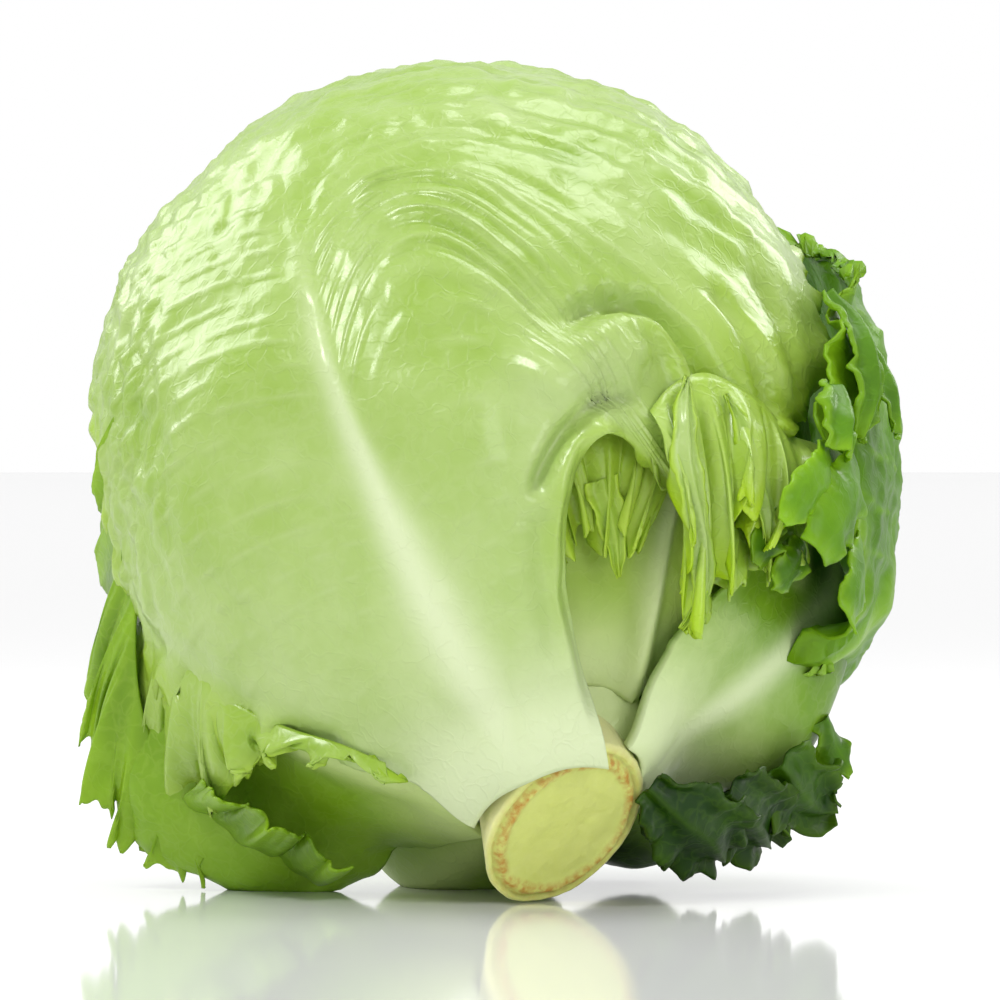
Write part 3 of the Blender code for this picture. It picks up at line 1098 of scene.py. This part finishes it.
@dataclass
class Stem:
    """The cut stalk: half widths in mm at distances from the ball's centre, cut off slanting."""

    profile: Sequence[tuple[float, float]] = ((38, 7), (46, 11), (60, 12.5), (74, 14), (84, 16.2),
                                              (104, 18.2))
    cut_centre: tuple[float, float, float] = (19.0, -57.0, -68.9)     # mm from the ball's centre
    cut_normal: tuple[float, float, float] = (0.50, -0.68, -0.50)
    sides: int = 160
    rings: int = 46             # along its side
    rim_rings: int = 5          # over its rounded rim
    cut_rings: int = 34         # in across its cut
    round_over: float = 1.3     # mm of rounding at the rim
    seed: int = 21

    def outline(self) -> tuple[list[Array], list[float], list[float]]:
        """Lay rings of points along the side, over the rim and in across the cut.

        Returns:
            The rings in mm from the ball's centre, and for each ring its share of the cut's radius and
            how much of it is cut face.
        """
        noise = Noise(self.seed)
        normal = np.array(self.cut_normal) / np.linalg.norm(self.cut_normal)
        angles = np.linspace(0, 2 * math.pi, self.sides, endpoint=False)
        around = np.cos(angles)[:, None] * BALL.up + np.sin(angles)[:, None] * BALL.right
        reach, width = np.array(self.profile, float).T
        waver = 1 + 0.035 * noise(np.cos(angles) * 1.6, np.sin(angles) * 1.6, angles * 0)
        waver += 0.012 * noise(np.cos(angles) * 6, np.sin(angles) * 6, angles * 0 + 4)

        def side(far: Array) -> Array:
            """Place a ring on the stalk's side.

            Args:
                far: mm along the axis for each point of the ring.

            Returns:
                The ring's points in mm from the ball's centre.
            """
            wide = np.interp(far, reach, width) * waver
            return far[:, None] * BALL.stem + wide[:, None] * around

        # Each point slides along the axis until it lies on the plane of the cut, which 30 rounds settle.
        end = np.full(self.sides, BALL.stemward)
        for _ in range(30):
            end -= (side(end) - np.array(self.cut_centre)) @ normal / (BALL.stem @ normal)
        rings, radius, face = [], [], []
        for step in np.linspace(0, 1, self.rings):
            rings.append(side(reach[0] + (end - self.round_over - reach[0]) * step))
            radius.append(1.0)
            face.append(0.0)
        rim = side(end)
        middle = rim.mean(axis=0)
        inward = unit_rows(middle - rim)
        for turn in np.linspace(0, 1, self.rim_rings + 1)[1:]:
            bend = turn * math.pi / 2
            drop = self.round_over * (1 - math.sin(bend))
            rings.append(rim - BALL.stem * drop + inward * self.round_over * (1 - math.cos(bend)))
            radius.append(1.0)
            face.append(turn)
        last = rings[-1]
        for step in np.linspace(0, 1, self.cut_rings)[1:]:
            flat = last + (middle - last) * step
            lump = 0.35 * noise.octaves(flat[:, 0] / 5, flat[:, 1] / 5, flat[:, 2] / 5, layers=3)
            lump += 0.7 * bell(np.array([step - 0.13]), 0.07) - 0.9 * bell(np.array([step - 0.02]), 0.05)
            rings.append(flat + normal * (lump * (1 - step**8))[:, None])
            radius.append(1.0 - step)
            face.append(1.0)
        return rings, radius, face

    def build(self) -> bpy.types.Object:
        """Skin the rings, close both ends, and put the stalk in place of its plain CAD piece.

        Returns:
            The new object.
        """
        rings, radius, face = self.outline()
        points = np.concatenate(rings) + BALL.centre
        ends = [ring.mean(axis=0) + BALL.centre for ring in (rings[0], rings[-1])]
        points = np.vstack([points, *ends])
        points[:, 2] = np.maximum(points[:, 2], 0.03)
        count, n = len(rings), self.sides
        faces = [(r * n + i, r * n + (i + 1) % n, (r + 1) * n + (i + 1) % n, (r + 1) * n + i)
                 for r in range(count - 1) for i in range(n)]
        faces += [(count * n, (i + 1) % n, i) for i in range(n)]
        faces += [(count * n + 1, (count - 1) * n + i, (count - 1) * n + (i + 1) % n) for i in range(n)]
        mesh = bpy.data.meshes.new("stem_fine")
        mesh.from_pydata((points * MM).tolist(), [], faces)
        for key, values, at_ends in (("radius", radius, (1.0, 0.0)), ("face", face, (0.0, 1.0))):
            layer = mesh.attributes.new(key, "FLOAT", "POINT")
            spread = np.concatenate([np.repeat(values, n), at_ends])
            layer.data.foreach_set("value", spread.astype(np.float32))
        mesh.validate()
        mesh.shade_smooth()
        mesh.materials.append(CutFlesh().make())
        thing = bpy.data.objects.new("stem_fine", mesh)
        bpy.context.scene.collection.objects.link(thing)
        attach(thing, BODY)
        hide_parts("stem")
        log.info("%s: %d points", thing.name, len(mesh.vertices))
        return thing


# The great outer leaf: a thick bloom of wax over a pale blade, so it shines more than the others.
WRAPPER = LeafTissue("iceberg_wrapper_leaf", rib="#E0EBC2", pale="#C6DC92", blade="#A4C650", rim="#B6DA12",
                     wax=0.5, glow=0.28, pucker_mm=0.32)
# Leaves that it covers: mid green, with less wax; their green, deeper and more saturated than the wrapper's,
# is partly painted shade.
SHADED = LeafTissue("iceberg_shaded_leaf", rib="#D2E49A", pale="#B8D85A", blade="#8EBA22", deep="#447204",
                    rim="#A8D020", shine=0.4)
# The smooth leaf beside the stem: nearly white at its base and full green further up; the deep green at its
# far side, under the loose right leaf's margin, is partly its own colour and partly painted shade.
BOWL = LeafTissue("iceberg_bowl_leaf", rib="#E4F2C0", pale="#D6EA9C", blade="#82B022", deep="#2E5C00",
                  rim="#9CC640", net=0.12)
# Loose outermost leaves, which grew in the light: thin, dark and duller; their deepest green, which the
# ruffles under the right side show, is partly painted shade.
LOOSE = LeafTissue("iceberg_loose_leaf", rib="#9CC83C", pale="#90C818", blade="#62980A", deep="#1A4200",
                   rim="#A6D81E", roughness=0.42, shine=0.35, glow=0.32, net=0.16)
# Inner leaves, which grew in the dark: pale and clear, so much light passes through them; their bright
# yellow-green in the opening is partly painted light that shines through.
HEART_LEAF = LeafTissue("iceberg_heart_leaf", rib="#DCEBAC", pale="#C6DF6C", blade="#A4C83A",
                        deep="#78A018", rim="#C8E444", glow=0.40)


def front_frill() -> list[Strip]:
    """Lay out the front leaf's skirt right of the opening, the rolled lobes on it, and its left frill.

    Returns:
        The strips.
    """
    return [
        Frill(((57, 9, 1), (61, 13, 1), (64, 19, 1), (64, 25, 1), (63, 32, 1), (61, 40, 1), (63, 48, 1)),
              ((45, 14, 4), (37, 18, 4.5), (30, 22, 4.5), (35, 24, 6), (38, 25, 7), (45, 24, 7), (46, 27, 7),
               (42, 31, 7), (46, 35, 7), (50, 39, 7), (54, 43, 6)),
              seed=6, pleat=3.6, length=9.0, bow=4.0, teeth=4.2, green=0.4, rim=0.95, rows=240, columns=22),
        Frill(((44, 20, 0), (46, 25, 0), (48, 31, 0), (50, 39, 0), (54, 47, 0)),
              ((32, 25, 3), (36, 28, 4), (38, 33, 4), (41, 39, 5), (46, 49, 5)), seed=12, pleat=3.0,
              length=8.0, green=0.75, rim=0.45, rows=140, columns=16),
        Tongue(((62, 14.5, 4), (56, 13.5, 6), (50, 14, 7), (44, 17, 7), (38, 21, 6.5), (33, 23, 5.5),
                (29.5, 21.5, 4)), (0.5, 5, 6, 5.5, 5, 3.5, 0.8), seed=18, fold=0.8, green=0.35, rim=0.8,
               cup=0.6, wave=1.0, wave_length=16.0),
        Tongue(((61, 22, 4), (56, 25, 7), (51, 27.5, 8.5), (47, 30.5, 9), (43, 33, 8)), (0.5, 5, 6, 5, 1),
               seed=10, fold=0.8, green=0.4, rim=0.8, cup=0.6, wave=1.0, wave_length=16.0),
        Frill(((72, -107, -1), (66, -105, 0), (54, -97, 1), (45, -95, 1), (37, -91, 1), (30, -86, 1),
               (24, -84, 1)),
              ((70, -121, 9), (64, -125, 13), (58, -126, 11), (46, -116, 9), (41, -104, 6), (37.5, -97, 3.5),
               (31.5, -91, 2), (26.5, -87, 1.4), (22, -86, 1)), seed=21, pleat=3.2, length=11.0, bow=2.6,
              teeth=3.4, green=0.5, rim=0.55, rows=300, columns=20),
    ]


def front_leaf() -> FrontLeaf:
    """Set out the great front leaf, with an arch over the opening right of its midrib.

    Returns:
        The leaf, ready to build.
    """
    return FrontLeaf(
        "leaf_front", "wrapper_leaf", (80, -40),
        rib=(-68.5, -61, -55, -48, -41, -34, -26, -17, -9, -1, 7, 15, 23, 32, 42, 53, 66, 80),
        left=((-12, -72), (-17, -66), (-24, -61), (-33, -52), (-43, -43), (-53, -33), (-63, -24),
              (-62, -13), (-61, -4), (-57, 4), (-55, 13), (-57, 22), (-60, 31), (-62, 40), (-62, 50),
              (-60, 60), (-54, 70), (-44, 80)),
        right=((11.5, -72.5), (14.5, -66), (17, -58), (19.5, -50), (23.5, -42), (28, -35), (34, -30.5),
               (39, -37), (42.5, -43), (47, -43), (54, -40), (66, -36), (80, -28), (94, -10), (100, 12),
               (97, 32), (86, 52), (66, 70)),
        layer=0.0, tissue=WRAPPER,
        arch_left=(2, 3, 4, 5, 7, 9, 12, 14, 15, 15, 14, 13, 12, 11, 10, 8, 6, 5),
        arch_right=(2, 2, 3, 4, 6, 12, 36, 56, 66, 67, 62, 54, 48, 38, 30, 22, 12, 6),
        rows=200, columns=141, seed=11, rib_width=5.0, blister=0.5, heave=1.8,
        base_green=0.02, blade_green=0.42, teeth=3.4, thin=0.6, thick=2.6, flare=6.0,
        ruffles=(Ruffle(1.8, 17.0, reach=9.0, seed=0.3),), frill=front_frill())


def left_frill() -> list[Strip]:
    """Lay out the torn, ruffled margins at the left leaf's lower side.

    Returns:
        The strips.
    """
    return [
        Frill(((80, -97, -3), (75, -100, -2), (69, -105, 2), (63, -113, 7), (57, -121, 10), (50, -127, 10)),
              ((76, -117, 8), (71, -121, 15), (66, -123, 22), (62, -127, 24), (57, -131, 23),
               (51, -135, 20)), seed=103, pleat=2.6, length=11.0, teeth=3.0, green=0.65, rim=0.45),
        Frill(((60, -133, 10), (56, -138, 9), (50, -142, 8), (44, -145, 7)),
              ((47, -108, 10), (40, -110, 11), (33, -112, 10), (29, -126, 8)), seed=104, pleat=1.8,
              length=13.0, teeth=2.6, bow=3.0, green=0.8, rim=0.25),
        Frill(((96, -78, -2), (87, -84, -2), (80, -94, -1), (76, -105, 1)),
              ((93, -90, 1), (88, -101, 1), (83, -112, 3), (76, -118, 7)), seed=106, pleat=0.7, length=20.0,
              teeth=0.8, bow=0.5, green=0.7, rim=0.3),
    ]


def right_frill() -> list[Strip]:
    """Lay out the folded lobes of the loose right leaf's front margin.

    Returns:
        The strips.
    """
    return [
        Tongue(((52, 57, 10), (47, 54.5, 14), (41.5, 53, 16)), (9, 12, 9), seed=111, green=0.45, rim=0.5,
               cup=0.2),
        Tongue(((58, 40, 11), (54, 36, 15), (49.5, 32, 16), (46, 29.5, 15)), (6, 9, 10, 3), seed=112,
               green=0.45, rim=0.6, cup=0.3),
        Tongue(((67, 40, 12), (62, 38.5, 16), (57.5, 38.5, 17)), (8, 11, 7), seed=113, green=0.6, rim=0.5,
               cup=0.7, fold=1.6),
        Tongue(((60, 47, 11), (54, 44, 15), (49, 41, 16), (45, 39.5, 15)), (12, 15, 14, 9), seed=114,
               green=0.5, rim=0.35, cup=0.3, wave=1.5),
        Tongue(((84, 43, 9), (77, 45, 14), (70, 46, 15), (62, 45, 13)), (5, 10, 10, 4), seed=115, green=0.6,
               rim=0.4, cup=0.6, fold=1.8),
        Tongue(((48, 36, 6), (44, 33, 8), (40.5, 32, 8)), (6, 9, 4), seed=116, green=0.8, rim=0.4,
               wave=1.6),
        Tongue(((46, 44, 7), (42, 40.5, 9), (39.5, 37, 9)), (7, 9, 4), seed=117, green=0.7, rim=0.5,
               wave=1.6),
        Tongue(((80, 48, 11), (73, 51, 15), (66, 52, 16)), (6, 11, 5), seed=118, green=0.55, rim=0.3,
               cup=0.5, fold=1.2),
    ]


def low_frill() -> list[Strip]:
    """Lay out the dark ruffles under the right side, painted the deepest green with little or no rim colour:
    partly the loose leaf's own deep green, partly painted shade.

    Returns:
        The strips.
    """
    return [
        Tongue(((11, 70, 2), (14, 86, 8), (20, 104, 11), (26, 116, 12)), (9, 17, 20, 6), seed=127, green=1.0,
               rim=0.05, wave=2.0, fold=1.8, cup=0.1),
        Tongue(((22, 90, 6), (27, 102, 10), (32, 111, 13), (36, 116, 15)), (12, 20, 17, 4), seed=128,
               green=1.0, rim=0.1, wave=2.2, fold=1.8, cup=0.1),
        Tongue(((32, 92, 7), (36, 101, 13), (39, 105, 17), (41, 105, 20)), (12, 18, 13, 3), seed=129,
               green=0.9, rim=0.15, wave=2.2, fold=1.6, cup=0.1),
        Tongue(((24, 118, 0), (27, 123, 6), (30, 128, 10)), (8, 10, 4), seed=121, green=1.0, rim=0.1,
               wave=1.6),
        Tongue(((31, 108, 2), (32, 114, 8), (33, 119.5, 12)), (9, 13, 5), seed=122, green=0.95, rim=0.15,
               wave=1.8, fold=1.0),
        Tongue(((38, 102, 5), (37, 107, 12), (36, 111, 16)), (8, 14, 6), seed=123, green=0.85, rim=0.2,
               wave=1.8, fold=1.0),
        Tongue(((43, 92, 8), (42.5, 96, 13), (43, 99, 18)), (7, 9, 3), seed=124, green=0.7, rim=0.4,
               wave=1.5),
        Tongue(((18, 112, -2), (20, 118, 3), (24, 126, 6)), (8, 10, 5), seed=125, green=1.0, rim=0.0,
               wave=1.6, fold=1.0),
        Tongue(((30, 100, -8), (34, 104, 4), (38, 106, 9)), (9, 13, 8), seed=126, green=1.0, rim=0.0,
               wave=1.8, fold=1.2),
    ]


def opening_frill() -> list[Strip]:
    """Lay out the pleated margin and curled tip seen in the opening, and a blanched stalk at its foot.

    Returns:
        The strips.
    """
    return [
        Frill(((49, -14, -9), (56, -8, -7), (59, 3, -6), (57, 13, -6), (50, 19, -7)),
              ((34, -6, -10), (39, -1, -9), (36, 4, -8), (40, 8, -7), (37, 13, -7)), seed=131, pleat=1.8,
              length=7.0, bow=2.0, teeth=3.0, green=0.4, rim=0.6, thickness=0.35),
        Tongue(((47, 2, -6), (40, 5, -6), (33, 8, -7)), (7, 6, 0.8), seed=133, green=0.35, rim=0.8, cup=0.1,
               fold=0.8, thickness=0.35),
        Tongue(((7, 60, -3), (11.6, 32, -11), (17, 22, -16), (22, 18, -20)), (12, 16, 15, 8), seed=136,
               green=0.0, rim=0.0, rib=0.9, wave=0.1, cup=0.1, thickness=1.4),
    ]


def wrapper_leaves() -> list[Leaf]:
    """Set out the other leaves that show: left, under, low right, back, right, loose right, opening.

    Returns:
        The leaves, ready to build.
    """
    under_left, under_right = oval(56, -48, 84)
    low_left, low_right = oval(50, -47, 74)
    back_left, back_right = oval(78, -99, 74, base=9)
    opening_left, _ = oval(48, -42, 64)
    _, left_leaf_right = oval(62, -79, 72, base=9)
    left_leaf_left = ((-10, -80), (-22, -73), (-32, -61), (-33, -49), (-29, -37), (-26, -26), (-31, -8),
                      (-41, 14), (-43, 36), (-37, 55), (-27, 72))
    return [
        Leaf("leaf_left", "wrapper_leaf", (90, -100), (-79, 76), left_leaf_left, left_leaf_right,
             -4.5, SHADED, (Swell(63, -127, 12, 22), Swell(48, -141, 14, 20), Swell(84, -126, 12, 5)),
             seed=31, blister=1.2, base_green=0.30, blade_green=0.60, flare=3.0,
             ruffles=(Ruffle(2.6, 15.0, reach=15.0),), teeth=3.4, frill=left_frill()),
        Leaf("leaf_under", "wrapper_leaf", (60, -165), (-47, 86), [(0.52 * x, y) for x, y in under_left],
             under_right, -9.0, SHADED, (Swell(42, -180, 17.5, 17), Swell(100, 172, 20, 3)), seed=41,
             blister=0.35, heave=0.8, base_green=0.3, blade_green=0.7,
             ruffles=(Ruffle(1.0, 20.0, reach=8.0),)),
        # Deep green from its base on: partly the loose leaf's own deep green, partly painted shade under the
        # right side.
        Leaf("leaf_low_right", "loose_leaf", (60, 132), (-46, 78), low_left, low_right, -13.5, LOOSE,
             (Swell(47, 143, 15, 24), Swell(80, 143, 22, 5)), seed=51, blister=1.4, base_green=0.9,
             blade_green=0.95, ruffles=(Ruffle(4.0, 18.0, reach=18.0, seed=0.4),), teeth=2.0,
             frill=low_frill()),
        Leaf("leaf_back", "wrapper_leaf", (112, 118), (-97, 78), back_left, back_right, -18.0, SHADED,
             seed=61, blister=0.7, base_green=0.2, blade_green=0.5, ruffles=(Ruffle(1.5, 20.0),)),
        # Its green runs past the blade colour into the deep one towards its far end: partly its own, partly
        # painted shade under the loose right leaf's margin.
        Leaf("leaf_right", "wrapper_leaf", (45, 75), (-34.5, 60),
             ((-7, -35.5), (-13, -29), (-18, -21), (-19, -6), (-18, 12), (-20, 30), (-16, 48), (-8, 58)),
             ((8, -35.5), (17, -24), (24, -17), (23, -7), (24, 8), (30, 26), (26, 46), (14, 58)),
             -7.0, BOWL, (Swell(40, 103, 12, 14), Swell(53, 86, 12, 11)), seed=71, blister=0.25,
             heave=0.8, rib_height=0.4, rib_width=4.0, base_green=0.0, blade_green=1.6,
             ruffles=(Ruffle(0.6, 16.0, reach=5.0),), flare=5.0),
        Leaf("leaf_right_outer", "loose_leaf", (85, 75), (-72, -64, -54, -44, -34, -24, -14, -2, 12, 36),
             ((9, -74), (19, -67), (26, -58), (10, -50), (-6, -42), (-18, -34), (-30, -26), (-33, -10),
              (-24, 6), (-6, 20)),
             ((14, -73), (27, -64), (33, -54), (24, -44), (24, -34), (30, -18), (44, 6), (42, 30), (24, 42)),
             10.0, LOOSE, (Swell(21, 82, 14, -30), Swell(34, 100, 13, -28)),
             sway=(14, 9, 5, 3, 1, 0, 0), seed=81, blister=1.8, heave=1.5, base_green=0.5,
             blade_green=0.5, ruffles=(Ruffle(2.4, 20.0, reach=12.0, seed=0.2),), teeth=1.5,
             frill=right_frill()),
        Leaf("leaf_opening", "inner_leaf", (55, 8), (-42.5, 68), opening_left,
             ((16, -43), (25, -32), (33, -18), (40, 2), (41, 28), (26, 64)), -13.5, HEART_LEAF,
             (Swell(56, 8, 12, 5),),
             sway=(9.5, 8.5, 13, 18, 20, 20), seed=91, blister=0.5, rib_height=3.2, rib_width=2.2,
             base_green=0.25, blade_green=0.65, ruffles=(Ruffle(1.2, 18.0, reach=8.0),),
             frill=opening_frill()),
    ]


def inner_nodes() -> None:
    """Give the hidden nested leaves and the heart the finish of blanched inner leaves."""
    finish = HEART_LEAF.make()
    for name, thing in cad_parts.items():
        if name.startswith("inner_leaf") or name == "heart":
            thing.data.materials.clear()
            thing.data.materials.append(finish)
            log.info("%s: finished", name)


@dataclass(frozen=True)
class Lamp:
    """A square soft lamp that faces the head."""

    name: str
    place: tuple[float, float, float]    # metres from the head's centre
    size: float                          # metres along its side
    watts: float

    def hang(self) -> None:
        """Add the lamp to the scene."""
        data = bpy.data.lights.new(self.name, "AREA")
        data.shape = "SQUARE"
        data.size = self.size
        data.energy = self.watts
        lamp = bpy.data.objects.new(self.name, data)
        middle = Vector(BALL.centre) * MM
        lamp.location = middle + Vector(self.place)
        lamp.rotation_euler = (middle - lamp.location).to_track_quat("-Z", "Y").to_euler()
        bpy.context.scene.collection.objects.link(lamp)


@dataclass(frozen=True)
class AcrylicSheet:
    """White acrylic sheet, cast and polished: a clean white with a faint, nearly sharp reflection."""

    name: str = "white_acrylic_sheet"
    colour: str = "#F6F6F6"
    roughness: float = 0.07
    ior: float = 1.36        # a little under acrylic's 1.49, for a fainter reflection

    def make(self) -> bpy.types.Material:
        """Build the material.

        Returns:
            The material.
        """
        material = bpy.data.materials.new(self.name)
        material.use_nodes = True
        surface = material.node_tree.nodes["Principled BSDF"]
        surface.inputs["Base Color"].default_value = hex_colour(self.colour)
        surface.inputs["Roughness"].default_value = self.roughness
        surface.inputs["IOR"].default_value = self.ior
        return material


@dataclass(frozen=True)
class Studio:
    """A pale glossy table, a white room, soft lamps, and the camera low in front of the stem."""

    aim: tuple[float, float, float] = (6.0, 0.0, -8.0)    # mm from the head's centre
    distance: float = 1500.0                              # mm from the aim to the camera
    view_width: float = 200.0                             # mm across the view at the aim
    rise: float = 1.0                                     # degrees the camera looks down
    sensor: float = 36.0                                  # mm across the camera's sensor
    reach: float = 50.0                                   # metres that the camera sees
    table: float = 12.0                                   # metres along the table's side
    ambient: float = 0.66                                 # how bright the white room is beside the lamps
    lamps: Sequence[Lamp] = (
        Lamp("key", (-0.54, -0.50, 0.84), 0.24, 5.0),
        Lamp("fill", (0.55, -0.90, 0.30), 0.50, 2.8),
        Lamp("rim_left", (-0.7, 0.45, 0.5), 0.5, 4.0),
        Lamp("rim_right", (0.6, 0.6, 0.5), 0.4, 2.6),
        Lamp("top", (0.25, 0.12, 0.9), 0.45, 4.0),
    )

    def build(self) -> None:
        """Make the floor, room, lamps and camera."""
        self.floor()
        self.room()
        for lamp in self.lamps:
            lamp.hang()
        self.camera()
        bpy.context.scene.view_settings.view_transform = "Standard"

    def floor(self) -> None:
        """Lay the table under the head."""
        bpy.ops.mesh.primitive_plane_add(size=self.table)
        floor = bpy.context.object
        floor.name = "studio_floor"
        floor.data.materials.append(AcrylicSheet().make())

    def room(self) -> None:
        """Surround the head with white, which is dimmer as a light than as it is seen."""
        world = bpy.data.worlds.new("white_room")
        bpy.context.scene.world = world
        world.use_nodes = True
        sky = world.node_tree.nodes["Background"]
        sky.inputs["Color"].default_value = hex_colour("#FFFFFF")
        soft = add_node(world.node_tree, "LightPath").outputs["Is Diffuse Ray"]
        power = add_node(world.node_tree, "MapRange", Value=soft, To_Min=1.0, To_Max=self.ambient)
        world.node_tree.links.new(power.outputs["Result"], sky.inputs["Strength"])

    def camera(self) -> None:
        """Stand a camera with a long lens nearly level with the table."""
        data = bpy.data.cameras.new("camera")
        data.sensor_width = self.sensor
        data.lens = self.sensor * self.distance / self.view_width
        data.clip_end = self.reach
        camera = bpy.data.objects.new("camera", data)
        aim = Vector(BALL.centre + np.array(self.aim)) * MM
        tilt = math.radians(self.rise)
        away = Vector((0, -math.cos(tilt), math.sin(tilt))) * self.distance * MM
        camera.location = aim + away
        camera.rotation_euler = (-away).to_track_quat("-Z", "Y").to_euler()
        bpy.context.scene.collection.objects.link(camera)
        bpy.context.scene.camera = camera


def main() -> None:
    """Build every piece in order."""
    Stem().build()
    front_leaf().build()
    for leaf in wrapper_leaves():
        leaf.build()
    inner_nodes()
    Studio().build()


if __name__ == "__main__":
    main()
